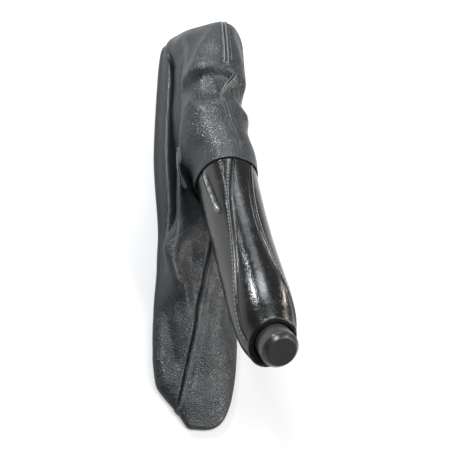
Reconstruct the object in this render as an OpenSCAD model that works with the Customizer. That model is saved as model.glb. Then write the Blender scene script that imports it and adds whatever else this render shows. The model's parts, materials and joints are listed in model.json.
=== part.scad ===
// Parking brake lever: a ratchet lever on a floor bracket, with a leather covered grip,
// a thumb button and a sewn leather gaiter.
// Frame: +X towards the button, +Z up, origin on the mounting face straight below the pivot.

/* [Lever] */
// Angle of the released lever tube above the mounting face, degrees
rest_pitch = 20.5; // [19:0.5:22]
// Height of the pivot above the mounting face
pivot_h = 20; // [19:0.5:22]
// Height of the tube axis above the pivot, square to the tube
rod_h = 10; // [9:0.25:11]
// Distance from the pivot to the rear edge of the grip
collar_x = 84; // [82:1:90]
// Outer radius of the lever tube
tube_r = 9; // [8.5:0.25:9.5]
// Wall of the lever tube
tube_wall = 1.5; // [1:0.25:2]
// Length of lever tube inside the grip
tube_in_grip = 100; // [90:1:104]
// Distance from the pivot to the rear end of the tube
tube_start = 50; // [49:0.5:53]
// Thickness of the lever arm's sheet
arm_t = 2.5; // [2:0.25:3]
// Radius of the arm around the pivot
arm_r = 14; // [12.5:0.5:14.5]
// Radius of the arm around the tube
arm_nose_r = 12; // [11:0.5:13]
// Length of the tube's seat between the arms
tube_seat = 8; // [6:0.5:10]
// Distance from the pivot back to the stop tail
tail_x = 16; // [14:0.5:17]
// Radius of the stop tail
tail_r = 5; // [4:0.5:5.5]

/* [Pivot] */
// Radius of the pivot pin
pivot_r = 5; // [4:0.25:5.5]
// Wall of the pivot bush
bush_wall = 2.5; // [1.5:0.25:3]
// Radius of the pivot pin's head
pivot_head_r = 8; // [7:0.5:9]
// Thickness of the pivot pin's head
pivot_head_t = 3; // [2:0.5:4]
// Thickness of the circlip
circlip_t = 1.2; // [1:0.1:1.5]
// Radius of the thrust washers
washer_r = 10; // [9:0.5:11]

/* [Bracket] */
// Length of the base plate
plate_l = 104; // [100:1:112]
// Width of the base plate
plate_w = 52; // [50:0.5:53]
// Thickness of the bracket's sheet
plate_t = 2.5; // [2:0.25:3]
// Spacing of the bolt holes along the lever
bolt_dx = 84; // [80:1:88]
// Spacing of the bolt holes across the lever
bolt_dy = 40; // [39.5:0.5:41]
// Radius of the bolt holes
bolt_r = 3.3; // [2.7:0.1:3.8]
// Radius of the cheeks around the pivot
cheek_r = 13; // [12:0.5:14]
// Half length of the cheeks at the base plate
cheek_foot = 34; // [30:1:36]
// Radius of the rubber stop
stop_r = 5; // [4:0.25:5.5]
// Radius of the stop pin
stop_pin_r = 2.5; // [2:0.25:3]

/* [Ratchet] */
// Radius of the quadrant over its teeth
sector_r = 33; // [32:0.5:33.5]
// Width of the quadrant's rim
sector_rim = 12; // [10:0.5:13]
// Thickness of the quadrant
sector_t = 5; // [4:0.5:6]
// Angle from one tooth to the next, degrees
tooth_step = 3; // [2.5:0.25:4]
// Depth of the teeth
tooth_d = 2; // [1.5:0.25:2.5]
// Angle of the highest tooth above the mounting face, degrees
tooth_top = 36; // [32:1:38]
// Distance from the pivot to the pawl pin, along the tube
pawl_x = 42; // [41.5:0.25:43]
// Length of the pawl's tail up to the rod
pawl_tail = 15; // [14:0.5:16]
// Radius of the pawl's pad under the rod
pawl_pad_r = 3.2; // [2.75:0.25:3.5]
// Radius of the pawl pin
pawl_pin_r = 3; // [2.5:0.25:3.25]
// Thickness of the pawl
pawl_t = 6; // [5:0.5:7]
// Angle of the pawl's nose below the tube, seen from the pivot, degrees
pawl_nose_a = 19.5; // [19:0.5:21]

/* [Cable end] */
// Distance of the trunnion below the pivot, square to the tube
trunnion_drop = 14; // [13.75:0.25:14.5]
// Radius of the trunnion
trunnion_r = 5.5; // [5.25:0.25:6]
// Half width of the trunnion between its two flats
trunnion_flat = 4.2; // [3.75:0.1:4.4]
// Radius of the trunnion's journals
journal_r = 3.5; // [3:0.25:3.75]
// Radius of the cable hole
cable_r = 3.2; // [2.5:0.1:3.4]

/* [Release rod] */
// Radius of the release rod
rod_r = 3; // [2.5:0.25:3.5]
// Coil radius of the return spring, at the middle of the wire
coil_r = 5.6; // [5:0.1:5.7]
// Radius of the spring wire
wire_r = 0.8; // [0.6:0.1:0.9]
// Turns of the return spring
coil_turns = 8; // [6:1:9]
// Length of the return spring
spring_l = 30; // [26:1:34]
// Length of each rod guide
guide_l = 8; // [6:0.5:10]

/* [Button] */
// Radius of the button
button_r = 11.8; // [11:0.1:12]
// How far the button stands out of the nose
button_out = 14; // [10:0.5:16]
// Depth of the button's head inside the nose
button_in = 9; // [8:0.5:10]
// Bevel on the button's rim
button_bevel = 3; // [2:0.1:3.4]
// Travel of the button
button_travel = 5; // [4:0.25:5]
// Radius of the button's stem
stem_r = 6; // [5.5:0.25:6.25]
// Length of the button's guide
button_guide_l = 6; // [5:0.5:6.5]
// Gap between the button and the nose
button_gap = 1.2; // [0.8:0.1:1.4]

/* [Grip] */
// Length of the grip
grip_len = 150; // [146:1:154]
// Upward bend of the grip from the collar to the nose, degrees
grip_bend = 8; // [6:0.5:9]
// Upward cut of the nose beyond the bend, degrees
nose_cut = 20; // [18:0.5:21]
// Half width of the grip at the collar
grip_w = 21.5; // [20.5:0.25:22.5]
// Thickness of the leather on the grip
leather_t = 1.2; // [1:0.1:1.6]
// Length of the neck that holds the gaiter
neck_l = 14; // [12:0.5:16]
// Depth of the neck below the grip's surface
neck_inset = 3.5; // [3:0.25:4]

/* [Gaiter] */
// Thickness of the gaiter's leather
gaiter_t = 1.6; // [1.2:0.1:1.8]
// Step from the grip up to the gaiter's collar
collar_step = 1.5; // [1.25:0.25:2]
// Front end of the hem
hem_front = 247; // [242:1:250]
// Rear end of the hem
hem_back = -72; // [-74:1:-69]
// Half width of the hem
hem_w = 36; // [34:0.5:37]
// How far the hem draws in at its waist
hem_waist = 4.5; // [2:0.5:6]
// How far the front of the hem lies to the left
hem_skew = 4.5; // [0:0.5:6]
// Cut at the front right corner of the hem
corner_cut = 24; // [16:1:26]
// Height of the sleeve behind the lever
sleeve_h = 64; // [62:1:68]
// Half width of the sleeve
sleeve_w = 26.5; // [26:0.5:28]
// How far the sleeve leans to the right behind the collar
sleeve_lean = 5; // [0:0.5:6]
// Depth of the hollow between the sleeve and the hem
hollow_d = 12; // [8:0.5:12.5]
// Width of the frame under the hem
frame_w = 5; // [4:0.5:6]
// Thickness of the frame under the hem
frame_t = 2.5; // [2:0.25:3]
// Width of the clamp band
clamp_w = 6; // [4:0.5:8]

/* [Fits] */
// Radial clearance of a running fit
run_clear = 0.05; // [0.02:0.01:0.08]
// Clearance between pieces that do not touch
part_clear = 0.3; // [0.25:0.05:0.4]

/* [Hidden] */
$fn = 64;

// Places across the lever, from the middle outwards
arm_in = tube_r;
arm_out = arm_in + arm_t;
washer_room = 1;
cheek_in = arm_out + washer_room;
cheek_out = cheek_in + plate_t;

// Places along the lever, in its own frame
tube_end = collar_x + tube_in_grip;
tube_bore = tube_r - tube_wall;
pawl_z = rod_h - pawl_tail;
tail_z = 2;
stop_x = -tail_x;
stop_z = tail_z + tail_r + part_clear + stop_r;
trunnion_x = 2;
spring_offset = 36;
spring_start = collar_x + spring_offset;
cut_over = 1;
rod_back = pawl_x + pawl_pad_r + part_clear + rod_r;

// Nose of the grip and the line of the button
bend_r = grip_len / grip_bend * 180 / PI;
nose_pitch = grip_bend + nose_cut;
nose_l = 55;
nose_start = grip_len - nose_l;
nose = grip_centre(grip_len);
bottom_gap = 1;
clip_land = 3;
head_depth = button_in + button_travel + bottom_gap;
stem_l = head_depth + button_guide_l + clip_land;
guide_top = -head_depth;
guide_wall = 2.5;
stem_end = nose - stem_l * [cos(nose_pitch), sin(nose_pitch)];
rod_front = stem_end[0]
  - (rod_r + part_clear + (rod_h - stem_end[1]) * sin(nose_pitch)) / cos(nose_pitch);

// World places of pieces that are fixed to the lever
function to_world(x, z) = [
  x * cos(rest_pitch) - z * sin(rest_pitch),
  pivot_h + x * sin(rest_pitch) + z * cos(rest_pitch)
];
trunnion_at = to_world(trunnion_x, -trunnion_drop);
stop_at = to_world(stop_x, stop_z);

module lever_frame() {
  translate([0, 0, pivot_h])
    rotate([0, -rest_pitch, 0])
      children();
}

// Frame of the button, with its axis up and the nose's rim at zero
module button_frame() {
  lever_frame()
    translate([nose[0], 0, nose[1]])
      rotate([0, 90 - nose_pitch, 0])
        children();
}

// Extrudes an outline drawn in X and Z from y0 over a thickness
module slab(y0, thickness) {
  translate([0, y0 + thickness, 0])
    rotate([90, 0, 0])
      linear_extrude(thickness)
        children();
}

// The same outline on both sides of the middle
module slab_pair(y0, thickness) {
  slab(y0, thickness) children();
  slab(-y0 - thickness, thickness) children();
}

// A round bar across the lever
module cross_bar(at, r, y0, y1) {
  translate([at[0], y1, at[1]])
    rotate([90, 0, 0])
      cylinder(r = r, h = y1 - y0);
}

// A round bar along the lever
module rod_bar(x0, x1, r) {
  translate([x0, 0, rod_h])
    rotate([0, 90, 0])
      cylinder(r = r, h = x1 - x0);
}

// Outline round two circles, its straight sides tucked in a little so that they cross the circles
module strap(p, rp, q, rq) {
  tuck = 0.03;
  span = norm(q - p);
  heading = atan2(q[1] - p[1], q[0] - p[0]);
  lean = acos((rp - rq) / span);
  up = [cos(heading + lean), sin(heading + lean)];
  down = [cos(heading - lean), sin(heading - lean)];
  translate(p) circle(r = rp);
  translate(q) circle(r = rq);
  polygon([
    p + (rp - tuck) * up, p + (rp - tuck) * down,
    q + (rq - tuck) * down, q + (rq - tuck) * up
  ]);
}

// Rectangle with round corners
module rounded_plate(l, w, r) {
  square([l - 2 * r, w], center = true);
  square([l, w - 2 * r], center = true);
  for (x = [-1, 1], y = [-1, 1])
    translate([x * (l / 2 - r), y * (w / 2 - r)])
      circle(r = r);
}

// Smooth curve through the values vs at the places ts, for numbers or rows of numbers
function knot(ts, t, i = 0) = i >= len(ts) - 2 || t < ts[i + 1] ? i : knot(ts, t, i + 1);
function chord(ts, vs, i) = (vs[i + 1] - vs[i]) / (ts[i + 1] - ts[i]);
function slope(ts, vs, i) =
  i == 0 ? chord(ts, vs, 0)
  : i == len(ts) - 1 ? chord(ts, vs, i - 1)
  : (chord(ts, vs, i) + chord(ts, vs, i - 1)) / 2;
function curve(ts, vs, t) =
  let (i = knot(ts, t), h = ts[i + 1] - ts[i], q = (t - ts[i]) / h)
  (2 * q ^ 3 - 3 * q ^ 2 + 1) * vs[i] + (q ^ 3 - 2 * q ^ 2 + q) * h * slope(ts, vs, i)
  + (3 * q ^ 2 - 2 * q ^ 3) * vs[i + 1] + (q ^ 3 - q ^ 2) * h * slope(ts, vs, i + 1);
function ease(q) = let (c = min(1, max(0, q))) c * c * (3 - 2 * c);

// Point of a rounded square of power n, in the direction of an angle
function oval(a, n) = [cos(a), sin(a)] / (abs(cos(a)) ^ n + abs(sin(a)) ^ n) ^ (1 / n);

// Closed solid between an outer and an inner grid of points, row by row
module sheet_solid(outer, inner) {
  rows = len(outer);
  cols = len(outer[0]);
  all = rows * cols;
  points = concat([for (r = outer) each r], [for (r = inner) each r]);
  function at(i, j) = i * cols + j;
  function quad(a, b, c, d) = [[a, b, c], [a, c, d]];
  skin = [for (i = [0:rows - 2], j = [0:cols - 2])
    each quad(at(i, j), at(i + 1, j), at(i + 1, j + 1), at(i, j + 1))];
  back = [for (f = skin) [f[2] + all, f[1] + all, f[0] + all]];
  rims = [for (i = [0:rows - 2], j = [0, cols - 1])
    each j == 0
      ? quad(at(i, 0), at(i, 0) + all, at(i + 1, 0) + all, at(i + 1, 0))
      : quad(at(i, j), at(i + 1, j), at(i + 1, j) + all, at(i, j) + all)];
  ends = [for (j = [0:cols - 2], i = [0, rows - 1])
    each i == 0
      ? quad(at(0, j), at(0, j + 1), at(0, j + 1) + all, at(0, j) + all)
      : quad(at(i, j), at(i, j) + all, at(i, j + 1) + all, at(i, j + 1))];
  polyhedron(points, concat(skin, back, rims, ends));
}

// Closed solid through a row of rings
module ring_solid(rings) {
  rows = len(rings);
  cols = len(rings[0]);
  function at(i, j) = i * cols + j % cols;
  sides = [for (i = [0:rows - 2], j = [0:cols - 1]) each [
    [at(i, j), at(i, j + 1), at(i + 1, j + 1)],
    [at(i, j), at(i + 1, j + 1), at(i + 1, j)]
  ]];
  first = [for (j = [cols - 1:-1:0]) j];
  last = [for (j = [0:cols - 1]) at(rows - 1, j)];
  polyhedron([for (r = rings) each r], concat(sides, [first], [last]));
}

// Grip: sections along an upward bend, turned up further at the nose.
// Each row holds the half width, the height above and below the axis, and the oval's power.
grip_s = [0, 30, 65, 100, 125, 139, 150] * grip_len / 150;
grip_rows = [
  [grip_w, grip_w, grip_w + 3, 2.2],
  [grip_w - 1, grip_w - 1, grip_w + 1, 2.2],
  [grip_w - 1.7, grip_w - 2, grip_w - 0.5, 2.2],
  [grip_w - 1.8, grip_w - 2, grip_w - 0.5, 2.2],
  [grip_w - 1.6, grip_w - 2.5, grip_w + 0.3, 2.15],
  [grip_w - 2.9, grip_w - 3.7, grip_w, 2.05],
  [grip_w - 5.9, grip_w - 5.9, grip_w - 3.5, 2]
];
function grip_turn(s) = s / grip_len * grip_bend;
function grip_centre(s) = [
  collar_x + bend_r * sin(grip_turn(s)),
  rod_h + bend_r * (1 - cos(grip_turn(s)))
];
function grip_point(s, a, inset) =
  let (
    row = curve(grip_s, grip_rows, s),
    k = oval(a, row[3]),
    up = ((k[0] > 0 ? row[1] : row[2]) - inset) * k[0],
    turn = grip_turn(s) + nose_cut * ease((s - nose_start) / (grip_len - nose_start)),
    c = grip_centre(s)
  )
  [c[0] - up * sin(turn), (row[0] - inset) * k[1], c[1] + up * cos(turn)];

// Seams of the grip, as angles from the top at places along it
seam_s = [0, 40, 70, 100, 125, 140, 150] * grip_len / 150;
seam_right = [-15, -38, -48, -62, -80, -95, -100];
seam_left = [24, 8, 6, 14, 32, 48, 55];
leather_start = 0.6;
glue_t = 0.2;
under = 180;
grip_rings = 20;

// One leather panel of the grip between two seams, each an angle along the grip
module grip_panel(from, to, steps) {
  grid = [for (inset = [0, leather_t]) [for (i = [0:grip_rings])
    let (s = leather_start + (grip_len - leather_start) * i / grip_rings)
    [for (j = [0:steps])
      let (a0 = curve(seam_s, from, s), a1 = curve(seam_s, to, s))
      grip_point(s, a0 + (a1 - a0) * j / steps, inset)]]];
  lever_frame() sheet_solid(grid[0], grid[1]);
}

// Outline of the neck behind the collar, in Y and Z, set in from the grip's surface
function neck_outline(inset) = [for (i = [0:47])
  let (p = grip_point(0, i * 360 / 48, inset)) [p[1], p[2]]];
module neck_bar(x0, x1, inset) {
  translate([x0, 0, 0])
    rotate([90, 0, 90])
      linear_extrude(x1 - x0)
        polygon(neck_outline(inset));
}

// Gaiter: loops from the collar to the hem, each flat, from a top to a bottom point.
// Each row holds the top point, the bottom point, the sideways place of both, the half widths
// on the right and on the left, and the oval's powers behind, in front right and front left.
collar_top = to_world(collar_x, rod_h + grip_w + collar_step);
grip_drop = 3;
collar_low = to_world(collar_x, rod_h - grip_w - grip_drop - collar_step);
cuff_l = 12;
cuff_flare = 1;
cuff_top = to_world(collar_x - cuff_l, rod_h + grip_w + collar_step + cuff_flare);
cuff_low = to_world(collar_x - cuff_l, rod_h - grip_w - grip_drop - collar_step - cuff_flare);
collar_half = grip_w + collar_step;
hem_z = frame_t + gaiter_t + 0.1;
reach_back = collar_top[0] - hem_back;
reach_front = hem_front - collar_low[0];
function loop_row(back, top, front, low, side, half, powers) =
  concat([hem_back + back * reach_back, top, collar_low[0] + front * reach_front, low],
    side, half, powers);
function collar_row(top, low, half) = concat(top, low, [0, 0, half, half, 2.2, 2.2, 2.2]);
gaiter_v = [0, 0.06, 0.2, 0.36, 0.52, 0.68, 0.84, 1];
gaiter_rows = [
  collar_row(collar_top, collar_low, collar_half),
  collar_row(cuff_top, cuff_low, collar_half + cuff_flare),
  loop_row(0.72, sleeve_h + 6, -0.065, collar_low[1] - 10, -sleeve_lean * [0.7, 0.6],
    [sleeve_w + 0.5, sleeve_w - 2.5], [2.4, 2.3, 2.3]),
  loop_row(0.44, sleeve_h + 2.5, 0.01, collar_low[1] - 8, -sleeve_lean * [1, 0.4],
    [sleeve_w + 2.5, sleeve_w - 2.5], [2.4, 2.4, 2.4]),
  loop_row(0.18, sleeve_h - 2, 0.175, collar_low[1] - 6, [-0.8 * sleeve_lean, 0.6 * hem_skew],
    [sleeve_w + 4.5, sleeve_w - 2.5], [2.5, 2.5, 2.5]),
  loop_row(0.02, sleeve_h - 13, 0.41, collar_low[1] - 11, [-0.4 * sleeve_lean, 0.8 * hem_skew],
    [sleeve_w + 6, sleeve_w], [3, 2.6, 2.6]),
  loop_row(-0.03, sleeve_h * 0.43, 0.7, collar_low[1] * 0.38, [-0.2 * sleeve_lean, hem_skew],
    [sleeve_w + 7.5, sleeve_w + 2.5], [9, 2.7, 3]),
  loop_row(0, hem_z, 1, hem_z, [0, hem_skew], [hem_w, hem_w], [9, 3.2, 4])
];
waist_x = hem_back + 0.6 * (hem_front - hem_back);
waist_l = 50;
hollow_v = 0.925;
hollow_spread = 0.04;
hollow_back = hem_back + 7;
hollow_front = waist_x + 25;
hollow_runs = [40, 60];
corner_l = 30;
corner_x = hem_front - 29.1;
skew_x = 30;
skew_l = 100;
function hem_mid(x) = hem_skew * ease((x - skew_x) / skew_l);
function waist(x) = hem_waist * exp(-((x - waist_x) / waist_l) ^ 2);
function corner(x) = corner_cut * ease((x - corner_x) / corner_l);
function hollow(x, v) = hollow_d * exp(-((v - hollow_v) / hollow_spread) ^ 2)
  * ease((x - hollow_back) / hollow_runs[0]) * ease((hollow_front - x) / hollow_runs[1]);
function gaiter_plain(v, a) =
  let (
    row = curve(gaiter_v, gaiter_rows, v),
    left = sin(a) > 0,
    k = oval(a, cos(a) > 0 ? row[8] : left ? row[10] : row[9]),
    x = (row[0] + row[2]) / 2 + (row[0] - row[2]) / 2 * k[0],
    lean = row[4] * (1 + k[0]) / 2 + row[5] * (1 - k[0]) / 2,
    near_hem = ease((v - 0.6) / 0.4),
    mid = lean + (hem_mid(x) - lean) * near_hem,
    trim = waist(x) + (left ? 0 : corner(x)),
    half = row[left ? 7 : 6] - trim * near_hem - hollow(x, v) * (left ? 0.5 : 1)
  )
  [x, mid + half * k[1], (row[1] + row[3]) / 2 + (row[1] - row[3]) / 2 * k[0]];
function unit(p) = p / norm(p);

// Dents and swellings of the gaiter: loop, angle, reach and height of each
dents = [
  [0.407, -57, 12, -5],
  [0.303, -21, 11, -6],
  [0.329, 4.5, 9, -3.5],
  [0.337, 38, 10, -5.5],
  [0.553, 69, 13, -6.5],
  [0.818, -117, 12, 4],
  [0.733, -141, 11, 4],
  [0.625, -160, 12, -4],
  [0.715, -169.5, 11, -3.5]
];
dent_places = [for (d = dents) gaiter_plain(d[0], d[1])];
dent_heights = [for (d = dents) d[3]];
function swelling(p) = dent_heights * [for (i = [0:len(dents) - 1])
  exp(-(norm(p - dent_places[i]) / dents[i][2]) ^ 2)];

// Outer and inner point of the leather
function gaiter_wall(v, a) =
  let (
    p = gaiter_plain(v, a),
    dv = gaiter_plain(v + 0.004, a) - gaiter_plain(v - 0.004, a),
    da = gaiter_plain(v, a + 1) - gaiter_plain(v, a - 1),
    inward = unit(cross(dv, da)),
    rise = swelling(p)
  )
  [p - rise * inward, p + (gaiter_t - rise) * inward];
gaiter_rings = 28;
gaiter_steps = 28;

// The panel of the gaiter over half a turn down to an angle
module gaiter_half(low) {
  wall = [for (i = [0:gaiter_rings]) [for (j = [0:gaiter_steps])
    gaiter_wall(i / gaiter_rings, low + 180 - 180 * j / gaiter_steps)]];
  outer = [for (row = wall) [for (w = row) w[0]]];
  inner = [for (row = wall) [for (w = row) w[1]]];
  sheet_solid(outer, inner);
}

// Outline of the hem on the mounting face, set in by a width
function hem_outline(inset) = [for (i = [0:71])
  let (
    a = i * 5,
    row = gaiter_rows[len(gaiter_rows) - 1],
    k = oval(a, cos(a) > 0 ? row[8] : sin(a) > 0 ? row[10] : row[9]),
    half_l = (hem_front - hem_back) / 2 - inset,
    x = (hem_front + hem_back) / 2 - half_l * k[0]
  )
  [x, hem_mid(x) + (hem_w - inset - waist(x) - (sin(a) > 0 ? 0 : corner(x))) * k[1]]];

// Wire wound along Z, with its first end at angle zero
module coil(r, wire, turns, l, sides = 6, steps = 14) {
  count = round(turns * steps);
  rings = [for (i = [0:count]) [for (j = [0:sides - 1])
    let (a = 360 * i / steps, b = -360 * j / sides)
    [(r + wire * cos(b)) * cos(a), (r + wire * cos(b)) * sin(a), l * i / count + wire * sin(b)]]];
  ring_solid(rings);
}

// Wire along a path that never runs straight across the lever
module bent_wire(path, r, sides = 6) {
  last = len(path) - 1;
  ring_solid([for (i = [0:last])
    let (
      along = unit(path[min(i + 1, last)] - path[max(i - 1, 0)]),
      out = unit(cross(along, [0, 1, 0])),
      over = cross(along, out)
    )
    [for (j = [0:sides - 1])
      path[i] + r * (cos(360 * j / sides) * out + sin(360 * j / sides) * over)]]);
}

module mounting_bracket() {
  slot_back = -tail_x - tail_r - 3;
  slot_front = trunnion_x + 16;
  plate_corner = 8;
  stop_boss = 5;
  foot_r = 4;
  color("dimgray") difference() {
    union() {
      linear_extrude(plate_t) difference() {
        rounded_plate(plate_l, plate_w, plate_corner);
        translate([slot_back, -cheek_in])
          square([slot_front - slot_back, 2 * cheek_in]);
      }
      slab_pair(cheek_in, plate_t) {
        strap([0, pivot_h], cheek_r, stop_at, stop_pin_r + stop_boss);
        for (side = [-1, 1])
          strap([0, pivot_h], cheek_r, [side * (cheek_foot - foot_r), foot_r], foot_r);
        translate([-cheek_foot, 0]) square([2 * cheek_foot, foot_r]);
      }
    }
    for (x = [-1, 1], y = [-1, 1])
      translate([x * bolt_dx / 2, y * bolt_dy / 2, -cut_over])
        cylinder(r = bolt_r, h = plate_t + 2 * cut_over);
    cross_bar([0, pivot_h], pivot_r, -cheek_out - cut_over, cheek_out + cut_over);
    cross_bar(stop_at, stop_pin_r, -cheek_out - cut_over, cheek_out + cut_over);
  }
}

rivet_x = 34;
rivet_y = 6.5;
rivet_r = 2.5;
foot_x0 = 21;
foot_x1 = 47;
foot_t = 3;
foot_w = 20;
sector_low = -24;
sector_over = 4;
land_gap = 2;
web_in = 1;
web_front = 2;
web_a = [-16, 6];

// Plate with saw teeth cut below its rim, on a riveted foot
module ratchet_sector() {
  nose_a = rest_pitch - pawl_nose_a;
  teeth = floor((tooth_top - nose_a - land_gap) / tooth_step);
  inner_r = sector_r - sector_rim;
  foot_z = plate_t + foot_t;
  color("gray") difference() {
    union() {
      slab(-sector_t / 2, sector_t) {
        difference() {
          translate([0, pivot_h]) intersection() {
            circle(r = sector_r, $fn = 128);
            polygon([[0, 0], for (a = [sector_low, 10, tooth_top + sector_over])
              2 * sector_r * [cos(a), sin(a)]]);
          }
          translate([0, pivot_h]) circle(r = inner_r);
          for (i = [1:teeth])
            translate([0, pivot_h]) rotate(nose_a + land_gap + (i - 1) * tooth_step)
              polygon([
                [sector_r + 1, 0],
                [sector_r - tooth_d, 0],
                [(sector_r + 0.4) * cos(tooth_step * 0.8), (sector_r + 0.4) * sin(tooth_step * 0.8)]
              ]);
        }
        polygon([
          [foot_x0 + web_in, foot_z],
          [foot_x1 - web_front, foot_z],
          [sector_r * cos(web_a[0]) - web_in, pivot_h + sector_r * sin(web_a[0])],
          for (a = [sector_low + web_a[1], sector_low])
            [0, pivot_h] + (inner_r + web_in) * [cos(a), sin(a)]
        ]);
      }
      translate([foot_x0, -foot_w / 2, plate_t])
        cube([foot_x1 - foot_x0, foot_w, foot_t]);
    }
    for (y = [-1, 1])
      translate([rivet_x, y * rivet_y, 0])
        cylinder(r = rivet_r, h = foot_z + cut_over);
  }
}

module sector_rivets() {
  head_r = rivet_r + 1.5;
  crown_r = rivet_r + 0.8;
  color("silver")
    for (y = [-1, 1])
      translate([rivet_x, y * rivet_y, plate_t])
        rotate_extrude()
          polygon([
            [0, 0], [rivet_r, 0], [rivet_r, foot_t],
            [head_r, foot_t], [crown_r, foot_t + 1.6], [0, foot_t + 1.9]
          ]);
}

groove_d = 0.6;
groove_r = pivot_r - groove_d;
circlip_gap = 0.2;
circlip_y = cheek_out + circlip_gap;
pin_over = 2;
head_bevel = 0.8;
pin_bevel = 0.6;

module pivot_pin() {
  end_y = circlip_y + circlip_t + pin_over;
  color("silver") translate([0, 0, pivot_h]) rotate([-90, 0, 0]) rotate_extrude() polygon([
    [0, -cheek_out - pivot_head_t],
    [pivot_head_r - head_bevel, -cheek_out - pivot_head_t],
    [pivot_head_r, -cheek_out - pivot_head_t + head_bevel],
    [pivot_head_r, -cheek_out],
    [pivot_r, -cheek_out],
    [pivot_r, circlip_y],
    [groove_r, circlip_y],
    [groove_r, circlip_y + circlip_t],
    [pivot_r, circlip_y + circlip_t],
    [pivot_r, end_y - pin_bevel],
    [pivot_r - pin_bevel, end_y],
    [0, end_y]
  ]);
}

module pivot_circlip() {
  ring = 2.2;
  color("dimgray") translate([0, 0, pivot_h]) slab(circlip_y, circlip_t) difference() {
    circle(r = pivot_r + ring);
    circle(r = groove_r);
    translate([-groove_r / 2, -2 * pivot_r]) square([groove_r, 2 * pivot_r]);
  }
}

module pivot_washers() {
  gap = (cheek_in - arm_out) * 0.1;
  color("silver") translate([0, 0, pivot_h])
    slab_pair(arm_out + gap, cheek_in - arm_out - 2 * gap)
      difference() {
        circle(r = washer_r);
        circle(r = pivot_r + run_clear);
      }
}

module stop_pin() {
  color("silver") cross_bar(stop_at, stop_pin_r, -cheek_out - cut_over, cheek_out + cut_over);
}

module stop_buffer() {
  color("black") difference() {
    cross_bar(stop_at, stop_r, -cheek_in + part_clear, cheek_in - part_clear);
    cross_bar(stop_at, stop_pin_r, -cheek_in, cheek_in);
  }
}

module gaiter_frame() {
  edge = 0.5;
  color([0.1, 0.1, 0.1]) linear_extrude(frame_t) difference() {
    polygon(hem_outline(edge));
    polygon(hem_outline(edge + frame_w));
  }
}

module gaiter_left() {
  color([0.2, 0.2, 0.21]) gaiter_half(0);
}

module gaiter_right() {
  color([0.2, 0.2, 0.21]) gaiter_half(-180);
}

journal_wall = 2.5;
tail_neck = 4;

// Outline of one arm: to the tube, down to the trunnion and back to the stop
module arm_outline(inset) {
  strap([0, 0], arm_r - inset, [tube_start + tube_seat / 2, rod_h], arm_nose_r - inset);
  if (inset == 0) {
    strap([0, 0], arm_r, [trunnion_x, -trunnion_drop], journal_r + journal_wall);
    strap([0, 0], arm_r - tail_neck, [-tail_x, tail_z], tail_r);
  }
}

// Folded channel: two arms joined by a web along their upper edge
module lever_arm() {
  web_x0 = 8;
  web_x1 = tube_start - 6;
  reach = 100;
  color("dimgray") lever_frame() difference() {
    slab(-arm_out, 2 * arm_out) arm_outline(0);
    slab(-arm_in, 2 * arm_in) {
      arm_outline(arm_t);
      translate([web_x0 - reach, -reach]) square([reach, 2 * reach]);
      translate([web_x1, -reach]) square([reach, 2 * reach]);
      translate([-reach, rod_h - reach]) square([2 * reach, reach]);
    }
    cross_bar([0, 0], pivot_r + bush_wall, -arm_out - cut_over, arm_out + cut_over);
    cross_bar([pawl_x, pawl_z], pawl_pin_r, -arm_out - cut_over, arm_out + cut_over);
    cross_bar([trunnion_x, -trunnion_drop], journal_r + run_clear, -arm_out - cut_over, arm_out + cut_over);
  }
}

module pivot_bush() {
  color("goldenrod") lever_frame() difference() {
    cross_bar([0, 0], pivot_r + bush_wall, -arm_out, arm_out);
    cross_bar([0, 0], pivot_r + run_clear, -arm_out - cut_over, arm_out + cut_over);
  }
}

module lever_tube() {
  color("gray") lever_frame() difference() {
    rod_bar(tube_start, tube_end, tube_r);
    rod_bar(tube_start - cut_over, tube_end + cut_over, tube_bore);
  }
}

module pawl_pin() {
  color("silver") lever_frame()
    cross_bar([pawl_x, pawl_z], pawl_pin_r, -arm_out - part_clear, arm_out + part_clear);
}

spacer_r = pawl_pin_r + 1.8;
pawl_root_r = pawl_pin_r + 2.4;

module pawl_spacers() {
  color("gray") lever_frame() translate([pawl_x, 0, pawl_z])
    slab_pair(pawl_t / 2 + part_clear, arm_in - pawl_t / 2 - part_clear)
      difference() {
        circle(r = spacer_r);
        circle(r = pawl_pin_r);
      }
}

// Torsion spring round one spacer: one leg holds the pawl's tail, the other the arm
module pawl_spring() {
  wire = 0.5;
  steps = 30;
  turns = 2.5;
  turn_r = spacer_r + wire + part_clear;
  y0 = pawl_t / 2 + part_clear + wire + 0.4;
  pitch = 2 * wire + 0.25;
  leg_z = pawl_tail - 6;
  winding = [for (i = [0:steps])
    let (a = 180 + 360 * turns * i / steps)
    [turn_r * cos(a), y0 + pitch * turns * i / steps, turn_r * sin(a)]];
  tail_leg = [-pawl_root_r - wire - part_clear, pawl_t / 2 - 1, leg_z];
  arm_leg = [turn_r, arm_in - wire, leg_z];
  color("silver") lever_frame() translate([pawl_x, 0, pawl_z])
    bent_wire(concat([tail_leg], winding, [arm_leg]), wire);
}

plug_inset = 2;

// Plug in the tube that guides the rod
module rod_plug(x0, l) {
  color([0.85, 0.85, 0.8]) lever_frame() difference() {
    rod_bar(x0, x0 + l, tube_bore);
    rod_bar(x0 - cut_over, x0 + l + cut_over, rod_r + run_clear);
  }
}

module rod_guide_rear() {
  rod_plug(tube_start + plug_inset, guide_l);
}

module spring_stop() {
  rod_plug(spring_start - guide_l, guide_l);
}

module rod_guide_front() {
  rod_plug(tube_end - guide_l - plug_inset, guide_l);
}

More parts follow.
